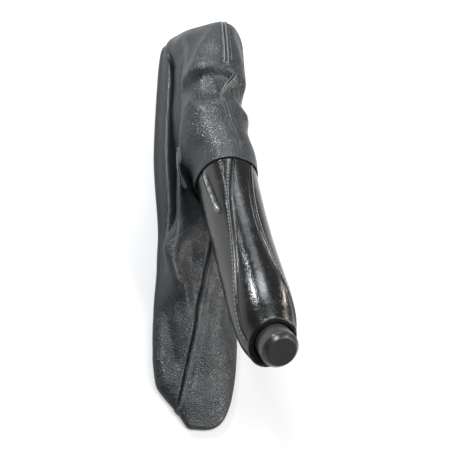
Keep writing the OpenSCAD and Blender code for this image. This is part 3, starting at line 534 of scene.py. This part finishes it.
class Shader:
    """A material with a Principled shader, and a short way to add nodes to it."""

    def __init__(self, name):
        self.material = bpy.data.materials.new(name)
        self.material.use_nodes = True
        self.tree = self.material.node_tree
        self.bsdf = self.tree.nodes["Principled BSDF"]

    def put(self, socket, value):
        if isinstance(value, bpy.types.NodeSocket):
            self.tree.links.new(value, socket)
        else:
            socket.default_value = value

    def add(self, kind, inputs=(), **settings):
        node = self.tree.nodes.new("ShaderNode" + kind)
        for key, value in settings.items():
            setattr(node, key, value)
        for key, value in dict(inputs).items():
            self.put(node.inputs[key], value)
        return node.outputs

    def set(self, **values):
        for key, value in values.items():
            self.put(self.bsdf.inputs[key.replace("_", " ")], value)

    def math(self, operation, a, b=0.0):
        return self.add("Math", {0: a, 1: b}, operation=operation)[0]

    def ramp(self, value, low, high, to_low=0.0, to_high=1.0):
        return self.add("MapRange", {"Value": value, "From Min": low, "From Max": high,
                                     "To Min": to_low, "To Max": to_high},
                        interpolation_type="SMOOTHSTEP")[0]

    def mix(self, factor, a, b):
        return self.add("Mix", {"Factor": factor, 6: a, 7: b}, data_type="RGBA")[2]

    def noise(self, where, scale, detail=3.0, rough=0.55):
        return self.add("TexNoise", {"Vector": where, "Scale": scale, "Detail": detail,
                                     "Roughness": rough})[0]

    def bump(self, height, distance, strength=1.0, normal=None):
        inputs = {"Height": height, "Distance": distance, "Strength": strength}
        if normal is not None:
            inputs["Normal"] = normal
        return self.add("Bump", inputs)[0]


def grey(r, g=None, b=None):
    return (r, r if g is None else g, r if b is None else b, 1)


def leather(name, dark, light, paler_tone, cell, depth, rough, scuff, specular):
    """Grained leather: pebbles with painted shade in the creases between them, pores, soft colour
    change, scuffs, and marked places painted paler, partly for wear and partly as a painted
    highlight.
    cell is the size of a pebble and depth that of the grain, in millimetres."""
    s = Shader(name)
    where = s.add("Attribute", attribute_name="rest")[1]
    bend = s.noise(where, 600 / cell, 2.0)
    shift = s.add("CombineXYZ", {"X": bend, "Y": s.noise(where, 530 / cell, 2.0), "Z": bend})[0]
    shift = s.add("VectorMath", {0: shift, "Scale": 0.00055 * cell}, operation="SCALE")[0]
    shifted = s.add("VectorMath", {0: where, 1: shift}, operation="ADD")[0]
    pebble = s.add("TexVoronoi", {"Vector": shifted, "Scale": 1000 / cell},
                   feature="DISTANCE_TO_EDGE")[0]
    high = s.ramp(pebble, 0.02, 0.34)
    small = s.add("TexVoronoi", {"Vector": shifted, "Scale": 2600 / cell},
                  feature="SMOOTH_F1")[0]
    height = s.math("ADD", high, s.math("MULTIPLY", small, -0.28))
    broad = s.noise(where, 38, 4.0)
    patch = s.noise(where, 140, 3.0)
    each = s.add("TexVoronoi", {"Vector": shifted, "Scale": 1000 / cell})[1]
    tone = s.mix(s.math("ADD", s.math("MULTIPLY", s.ramp(broad, 0.3, 0.72), 0.6),
                        s.math("MULTIPLY", each, 0.4)), dark, light)
    # painted shade: the creases between the pebbles are darkened
    tone = s.mix(s.math("MULTIPLY", s.ramp(high, 0.6, 0.0), 0.55), tone,
                 grey(dark[0] * 0.45, dark[1] * 0.45, dark[2] * 0.45))
    # marked places painted paler: partly wear, partly a painted highlight on seam ridges and on the
    # grip's crest
    wear_and_highlight_share = s.add("Attribute", attribute_name="wear_and_highlight")[2]
    tone = s.mix(s.math("MULTIPLY", wear_and_highlight_share, 0.9), tone, paler_tone)
    if scuff:
        spots = s.ramp(s.noise(where, 420, 5.0, 0.7), 0.665, 0.72)
        lines = s.add("TexWave", {"Vector": where, "Scale": 90.0, "Distortion": 26.0,
                                  "Detail": 3.0, "Detail Scale": 2.2})[1]
        fine = s.math("MULTIPLY", s.ramp(lines, 0.985, 1.0), s.ramp(patch, 0.52, 0.66))
        mark = s.math("MULTIPLY", s.math("MAXIMUM", spots, fine), scuff)
        tone = s.mix(mark, tone, grey(0.22, 0.22, 0.215))
    s.set(Base_Color=tone)
    s.set(Roughness=s.math("ADD", s.ramp(patch, 0.25, 0.75, rough - 0.06, rough + 0.07),
                           s.math("MULTIPLY", high, -0.06)))
    s.set(Normal=s.bump(height, depth * MM, 1.0, s.bump(patch, 0.0005, 0.35)))
    s.set(Specular_IOR_Level=specular)
    return s.material


def backing(name):
    """Woven cloth on the inside of the leather."""
    s = Shader(name)
    where = s.add("Attribute", attribute_name="rest")[1]
    warp = s.add("TexWave", {"Vector": where, "Scale": 260.0, "Distortion": 1.5},
                 bands_direction="X")[1]
    weft = s.add("TexWave", {"Vector": where, "Scale": 260.0, "Distortion": 1.5},
                 bands_direction="Z")[1]
    weave = s.math("MULTIPLY", warp, weft)
    s.set(Base_Color=s.mix(weave, grey(0.05, 0.05, 0.052), grey(0.11, 0.11, 0.112)), Roughness=0.9)
    s.set(Normal=s.bump(weave, 0.0002), Sheen_Weight=0.3)
    return s.material


def thread(name, tone):
    """Twisted yarn."""
    s = Shader(name)
    where = s.add("TexCoord")["Object"]
    ply = s.add("TexWave", {"Vector": where, "Scale": 900.0, "Distortion": 2.0},
                bands_direction="DIAGONAL")[1]
    s.set(Base_Color=s.mix(ply, grey(tone * 0.55), grey(tone)), Roughness=0.6)
    s.set(Normal=s.bump(ply, 0.00008), Sheen_Weight=0.4)
    return s.material


def plastic(name, base, rough, grain, wear=0.0):
    """Moulded plastic with a fine grain, and rubbed edges."""
    s = Shader(name)
    where = s.add("TexCoord")["Object"]
    fine = s.noise(where, 2600, 3.0)
    broad = s.noise(where, 60, 4.0)
    tone = s.mix(broad, grey(*[c * 0.8 for c in base]), grey(*[min(1, c * 1.25) for c in base]))
    if wear:
        edge = s.ramp(s.add("NewGeometry")["Pointiness"], 0.52, 0.6)
        paler_tone = grey(*[min(1, c * 2.6 + 0.02) for c in base])
        tone = s.mix(s.math("MULTIPLY", edge, wear), tone, paler_tone)
    s.set(Base_Color=tone, Roughness=s.ramp(broad, 0.3, 0.7, rough - 0.05, rough + 0.06))
    s.set(Normal=s.bump(fine, grain * MM))
    return s.material


def metal(name, base, rough, brushed=0.0, metallic=1.0, dirt=0.3):
    """Steel or bronze with drawing lines, stains and an uneven polish."""
    s = Shader(name)
    where = s.add("TexCoord")["Object"]
    stretched = s.add("VectorMath", {0: where, 1: (60, 1600, 1600)}, operation="MULTIPLY")[0]
    lines = s.noise(stretched, 1.0, 2.0)
    stain = s.noise(where, 120, 5.0, 0.6)
    tone = s.mix(s.math("MULTIPLY", s.ramp(stain, 0.5, 0.75), dirt), grey(*base),
                 grey(*[c * 0.4 for c in base]))
    s.set(Base_Color=tone, Metallic=metallic)
    s.set(Roughness=s.math("ADD", s.ramp(stain, 0.3, 0.75, rough - 0.06, rough + 0.14),
                           s.math("MULTIPLY", lines, 0.08)))
    s.set(Normal=s.bump(lines, 0.00004 + 0.0001 * brushed, 0.6))
    return s.material


# the gaiter's paler tone marks its seam strips and turned edge, partly wear and partly painted
# highlight
GAITER_LEATHER = leather("gaiter_leather", grey(0.0155, 0.0178, 0.0198), grey(0.0285, 0.032, 0.035),
                         paler_tone=grey(0.13), cell=1.7, depth=0.17, rough=0.38, scuff=0.0,
                         specular=0.45)
# the grip's paler tone is a painted highlight along the crest of its right panel
GRIP_LEATHER = leather("grip_leather", grey(0.009, 0.0092, 0.0096), grey(0.015, 0.0152, 0.0157),
                       paler_tone=grey(0.4), cell=0.7, depth=0.022, rough=0.16, scuff=0.35,
                       specular=0.45)
BACKING = backing("leather_backing")
THREAD = thread("thread", 0.32)
DARK_THREAD = thread("dark_thread", 0.012)
BY_SLOT = {
    "black_steel": metal("black_steel", (0.05, 0.05, 0.055), 0.42, metallic=0.35),
    "hard_steel": metal("hard_steel", (0.42, 0.42, 0.43), 0.32, 1.0),
    "zinc_steel": metal("zinc_steel", (0.62, 0.62, 0.6), 0.3, 0.6),
    "spring_steel": metal("spring_steel", (0.5, 0.5, 0.5), 0.28, 0.5),
    "bronze": metal("bronze", (0.6, 0.45, 0.25), 0.36, 0.3),
    "stop_rubber": plastic("stop_rubber", (0.03, 0.03, 0.03), 0.7, 0.05),
    "frame_plastic": plastic("frame_plastic", (0.03, 0.03, 0.03), 0.5, 0.04),
    "guide_plastic": plastic("guide_plastic", (0.75, 0.74, 0.7), 0.45, 0.02),
    "core_plastic": plastic("core_plastic", (0.022, 0.022, 0.022), 0.55, 0.04),
    "button_plastic": plastic("button_plastic", (0.024, 0.024, 0.025), 0.5, 0.03),
}
for entry in frame["record"]["subparts"]:
    node = frame["nodes"][entry["node"]]
    material = BY_SLOT.get(entry["material_slot"])
    if material:
        node.data.materials.clear()
        node.data.materials.append(material)
        smooth_by_angle(node, 32)

# Gaiter pieces

# Share of the way from the collar to the hem after which the upper seam is stitched
SEAM_REAR = 0.4
for side, name, node in ((1, "gaiter_panel_left", "gaiter_left"),
                         (-1, "gaiter_panel_right", "gaiter_right")):
    outer, inner, normals, lips, wear_and_highlight = gaiter_panel(side)
    panel = sewn_sheet(name, outer, inner, lips, wear_and_highlight=wear_and_highlight)
    panel.data.materials.append(GAITER_LEATHER)
    panel.data.materials.append(BACKING)
    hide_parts(node)
    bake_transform(panel)
    if side > 0:
        points, ups = line_beside_edge(outer, normals, STITCH_OFF)
        rear = crowded(GAITER_ROWS, ROW_CROWD) > SEAM_REAR
        row = stitches("gaiter_top_stitches", points[rear], ups[rear],
                       length=1.9, gap=1.5, radius=0.55)
        row.data.materials.append(DARK_THREAD)
        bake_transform(row)

# Grip

COLLAR_X, ROD_H, GRIP_L = 84.0, 10.0, 150.0
GRIP_BEND, NOSE_TURN, TURN_FROM = math.radians(8), math.radians(20), 95.0
BEND_R = GRIP_L / GRIP_BEND
# Sections along the grip: half width, height above and below the rod, power of the oval
GRIP_S = [0, 30, 65, 100, 125, 139, 150]
GRIP_ROWS = np.array([
    (21.5, 21.5, 24.5, 2.2), (20.5, 20.5, 22.5, 2.2), (19.8, 19.5, 21, 2.2), (19.7, 19.5, 21, 2.2),
    (19.9, 19, 21.8, 2.15), (18.6, 17.8, 21.5, 2.05), (15.6, 15.6, 18, 2.0)])
# Angles of the seams along the grip
SEAM_S = [0, 40, 70, 100, 125, 140, 150]
SEAM_RIGHT = [-15, -38, -48, -62, -80, -95, -100]
SEAM_LEFT = [24, 8, 6, 14, 32, 48, 55]
# Sewn edges: height, distance from the edge and width of the furrow, the swelling and the trough
GRIP_STITCH_OFF = 2.3
GRIP_EDGE = [(-0.6, 0.0, 0.45), (0.18, 1.3, 0.8), (-0.12, GRIP_STITCH_OFF, 0.5)]
EDGE_LEFT, EDGE_FADE = 0.35, 12
# Crest that the leather draws on the right panel, from the collar, with a painted highlight streak
# along it
CREST_S, CREST_A = [2.0, 12.0, 27.0, 41.0, 52.0], [-80.0, -78.0, -74.0, -70.0, -66.5]
CREST_H = 2.1
GRIP_STEPS, GRIP_T, BORE_R, LIP_H = 150, 0.7, 12.7, 1.1
# Turned-in end in the bore: height along the axis and gap to the bore
BORE_LIP = [(0.6, 0.05), (-0.4, 0.12), (-2.0, 0.12), (-6.0, 0.12)]


def grip_point(s, a):
    """Point on the plain grip: s runs from the collar to the nose, a round it from the top,
    and is positive on the left."""
    half, above, below, power = np.moveaxis(curve(GRIP_S, GRIP_ROWS, s), -1, 0)
    k0, k1 = oval(a, power)
    up = np.where(k0 > 0, above, below) * k0
    t = s / GRIP_L * GRIP_BEND
    turn = t + NOSE_TURN * ease((s - TURN_FROM) / (GRIP_L - TURN_FROM))
    x = COLLAR_X + BEND_R * np.sin(t) - up * np.sin(turn)
    z = ROD_H + BEND_R * (1 - np.cos(t)) + up * np.cos(turn)
    return lever_to_world(x, half * k1, z)


NOSE_PITCH = PITCH + GRIP_BEND + NOSE_TURN
NOSE_AXIS = np.array([math.cos(NOSE_PITCH), 0, math.sin(NOSE_PITCH)])
NOSE_UP = np.array([-math.sin(NOSE_PITCH), 0, math.cos(NOSE_PITCH)])
NOSE = lever_to_world(np.array(COLLAR_X + BEND_R * math.sin(GRIP_BEND)), np.array(0.0),
                      np.array(ROD_H + BEND_R * (1 - math.cos(GRIP_BEND))))


def grip_panel(lo, hi, cols):
    """Outer and inner grid, normals and the painted highlight along the crest of one panel between
    two seams.
    """
    s = np.concatenate([[0.4], np.linspace(1.5, GRIP_L, GRIP_STEPS)])
    f = crowded(cols)
    a0, a1 = (np.radians(curve(SEAM_S, e, s)) for e in (lo, hi))
    a = a0[:, None] + (a1 - a0)[:, None] * f
    ss = np.broadcast_to(s[:, None], a.shape)
    base = grip_point(ss, a)
    # columns run leftwards and rows towards the nose, so the outward side is the other one
    normals = -grid_normals(base)
    d = arc(base)
    edge = np.minimum(d, d[:, -1:] - d)
    move = sum(height * bell(edge - off, width) for height, off, width in GRIP_EDGE)
    move = move * (EDGE_LEFT + (1 - EDGE_LEFT) * ease((GRIP_L - ss) / EDGE_FADE))
    move += 0.05 * wobble(base, 14, 4.4) + 0.006 * wobble(base, 3, 9.1)
    crest = grip_point(np.array(CREST_S), np.radians(CREST_A))
    move += CREST_H * fold(base, normals, crest, 1.9, 1.8)
    # painted highlight: a pale streak along the crest, broken by noise
    wear_and_highlight = fold(base, normals, crest, 1.2, 1.0) * (0.55 + 0.9 * wobble(base, 1.6, 5.5))
    outer = base + normals * move[..., None]
    normals = -grid_normals(outer)
    # the nose rolls over into the bore
    rel = outer[-1] - NOSE
    y, u = rel[:, 1], rel @ NOSE_UP
    to_bore = BORE_R / np.hypot(y, u)
    ring = NOSE + (y * to_bore)[:, None] * np.array([0, 1, 0]) + (u * to_bore)[:, None] * NOSE_UP
    lip = []
    for q in np.radians(np.linspace(15, 90, 6)):
        lip.append(ring + (outer[-1] - ring) * np.cos(q) + NOSE_AXIS * LIP_H * np.sin(q))
    for height, gap in BORE_LIP:
        lip.append(ring + NOSE_AXIS * height - unit(ring - NOSE) * gap)
    outer = np.concatenate([outer, np.array(lip)])
    inner = outer + grid_normals(outer) * GRIP_T
    return outer, inner, normals, np.clip(wear_and_highlight, 0, 1)


FLAT = [180] * len(SEAM_S)
grip_panels = {}
for name, node, lo, hi, cols in (
        ("grip_panel_top", "grip_top_leather", SEAM_RIGHT, SEAM_LEFT, 90),
        ("grip_panel_left", "grip_left_leather", SEAM_LEFT, FLAT, 120),
        ("grip_panel_right", "grip_right_leather", [-a for a in FLAT], SEAM_RIGHT, 120)):
    outer, inner, normals, wear_and_highlight = grip_panel(lo, hi, cols)
    panel = sewn_sheet(name, outer[:, ::-1], inner[:, ::-1], ([], []), "lever", wear_and_highlight[:, ::-1])
    panel.data.materials.append(GRIP_LEATHER)
    panel.data.materials.append(BACKING)
    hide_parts(node)
    grip_panels[name] = (outer[:len(normals)], normals)
for name, of, from_end in (("stitches_left", "grip_panel_left", False),
                           ("stitches_right", "grip_panel_right", True),
                           ("stitches_low_left", "grip_panel_left", True),
                           ("stitches_low_right", "grip_panel_right", False)):
    outer, normals = grip_panels[of]
    points, ups = line_beside_edge(outer, normals, GRIP_STITCH_OFF, from_end)
    row = stitches("grip_" + name, points[2:], ups[2:],
                   length=2.2, gap=1.0, radius=0.28, until=0.965)
    row.data.materials.append(THREAD)
    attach(row, "lever")

# Button: the same body with rounded edges, as pairs of radius and height

BUTTON = [(0, -24), (5.4, -24), (6, -23.4), (6, -9), (11.2, -9), (11.7, -8.8), (11.8, -8.4),
          (11.8, 10.4), (11.74, 10.8), (11.6, 11.15), (9.5, 13.4), (9.2, 13.66), (8.8, 13.83),
          (8.4, 13.87), (7.9, 13.8), (6, 13.68), (3, 13.6), (0, 13.58)]
FACE_FROM = 13.5


def lathe(name, profile, origin, axis, side, up, steps=96):
    """Body turned about an axis, from a profile that begins and ends on it."""
    verts, faces = [], []
    inner = profile[1:-1]
    for r, h in inner:
        for k in range(steps):
            a = 2 * math.pi * k / steps
            verts.append(origin + axis * h + r * (math.cos(a) * side + math.sin(a) * up))
    for i in range(len(inner) - 1):
        for k in range(steps):
            n = (k + 1) % steps
            faces.append((i * steps + k, i * steps + n, (i + 1) * steps + n, (i + 1) * steps + k))
    for (_, h), row in ((profile[0], 0), (profile[-1], len(inner) - 1)):
        verts.append(origin + axis * h)
        for k in range(steps):
            n = (k + 1) % steps
            f = (row * steps + k, row * steps + n, len(verts) - 1)
            faces.append(f if row else f[::-1])
    obj = new_object(name, verts, faces)
    obj.data.validate()
    smooth_by_angle(obj, 40)
    return obj


button = lathe("button_cap", BUTTON, NOSE, NOSE_AXIS, np.array([0, 1.0, 0]), -NOSE_UP)
button.data.materials.append(plastic("button_shaft", (0.022, 0.022, 0.023), 0.25, 0.01, wear=0.8))
button.data.materials.append(BY_SLOT["button_plastic"])
for face in button.data.polygons:
    flat = (np.array(face.center) / MM - NOSE) @ NOSE_AXIS > FACE_FROM
    face.material_index = 1 if flat else 0
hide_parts("release_button")
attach(button, "button")

# Return spring: a copy of the same wire, carried by the lever

wire = frame["nodes"]["return_spring"]
spring = bpy.data.objects.new("return_coil", wire.data.copy())
spring.matrix_world = wire.matrix_world.copy()
bpy.context.scene.collection.objects.link(spring)
bpy.context.view_layer.update()
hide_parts("return_spring")
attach(spring, "lever")
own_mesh(spring)

# Floor, light and camera

scene = bpy.context.scene
scene.view_settings.view_transform = "Standard"

FLOOR_HALF = 1600
corners = [(x * FLOOR_HALF, y * FLOOR_HALF, 0) for x, y in ((-1, -1), (1, -1), (1, 1), (-1, 1))]
floor = new_object("floor", corners, [(0, 1, 2, 3)])
floor.location = (0, 0, -0.0003)
ground = Shader("floor")
ground.set(Base_Color=grey(0.42), Roughness=0.9, Specular_IOR_Level=0.1)
# white for what the camera, mirrors and glass see of it
path = ground.add("LightPath")
seen = path["Is Camera Ray"]
for kind in ("Is Glossy Ray", "Is Transmission Ray"):
    seen = ground.math("MAXIMUM", seen, path[kind])
glow = ground.add("Emission", {"Color": grey(1), "Strength": 0.35})[0]
glow = ground.add("MixShader", {0: seen, 2: glow})[0]
lit = ground.add("AddShader", {0: ground.bsdf.outputs[0], 1: glow})[0]
ground.put(ground.tree.nodes["Material Output"].inputs[0], lit)
floor.data.materials.append(ground.material)

world = bpy.data.worlds.new("studio")
world.use_nodes = True
scene.world = world
sky = world.node_tree.nodes["Background"]
sky.inputs["Color"].default_value = (0.96, 0.98, 1, 1)
sky.inputs["Strength"].default_value = 0.1

AIM, GRIP_END = Vector((0.115, 0.0, 0.06)), Vector((0.2, -0.003, 0.13))


def softbox(name, direction, distance, size, power, tint=(1, 1, 1), aim=AIM):
    """Area lamp that stands off in a direction and shines on aim."""
    lamp = bpy.data.lights.new(name, "AREA")
    lamp.shape = "RECTANGLE"
    lamp.size, lamp.size_y = size
    lamp.energy = power
    lamp.color = tint
    obj = bpy.data.objects.new(name, lamp)
    toward = Vector(direction).normalized()
    obj.location = aim + toward * distance
    obj.rotation_mode = "QUATERNION"
    obj.rotation_quaternion = (-toward).to_track_quat("-Z", "Y")
    scene.collection.objects.link(obj)


softbox("left", (-0.12, -0.42, 0.9), 1.1, (0.35, 0.35), 8, (0.97, 0.985, 1.0))
softbox("overhead", (-0.14, 0.38, 0.9), 1.2, (0.3, 0.5), 7)
softbox("right", (0.12, 0.74, 0.66), 1.1, (0.35, 0.35), 6.5)
softbox("rear_window", (-0.8, -0.08, 0.6), 1.1, (0.4, 0.25), 6, (0.94, 0.975, 1.0))
softbox("side_window", (-0.76, -0.56, 0.34), 0.6, (0.05, 0.075), 2.8, (0.95, 0.975, 1.0), GRIP_END)
softbox("warm_right", (-0.66, 0.73, 0.19), 0.32, (0.02, 0.035), 0.14, (1.0, 0.86, 0.7), GRIP_END)

camera_data = bpy.data.cameras.new("camera")
camera_data.sensor_width = 36
camera_data.lens = 58.885
camera = bpy.data.objects.new("camera", camera_data)
scene.collection.objects.link(camera)
eye, target = Vector((0.3236, -0.2222, 0.4897)), Vector((0.1146, -0.00093, 0.0603))
roll = math.radians(53.01)
ahead = (target - eye).normalized()
right = ahead.cross(Vector((0, 0, 1))).normalized()
up = right.cross(ahead)
across = right * math.cos(roll) + up * math.sin(roll)
upward = up * math.cos(roll) - right * math.sin(roll)
turn = Matrix((across, upward, -ahead)).transposed().to_4x4()
camera.matrix_world = Matrix.Translation(eye) @ turn
scene.camera = camera
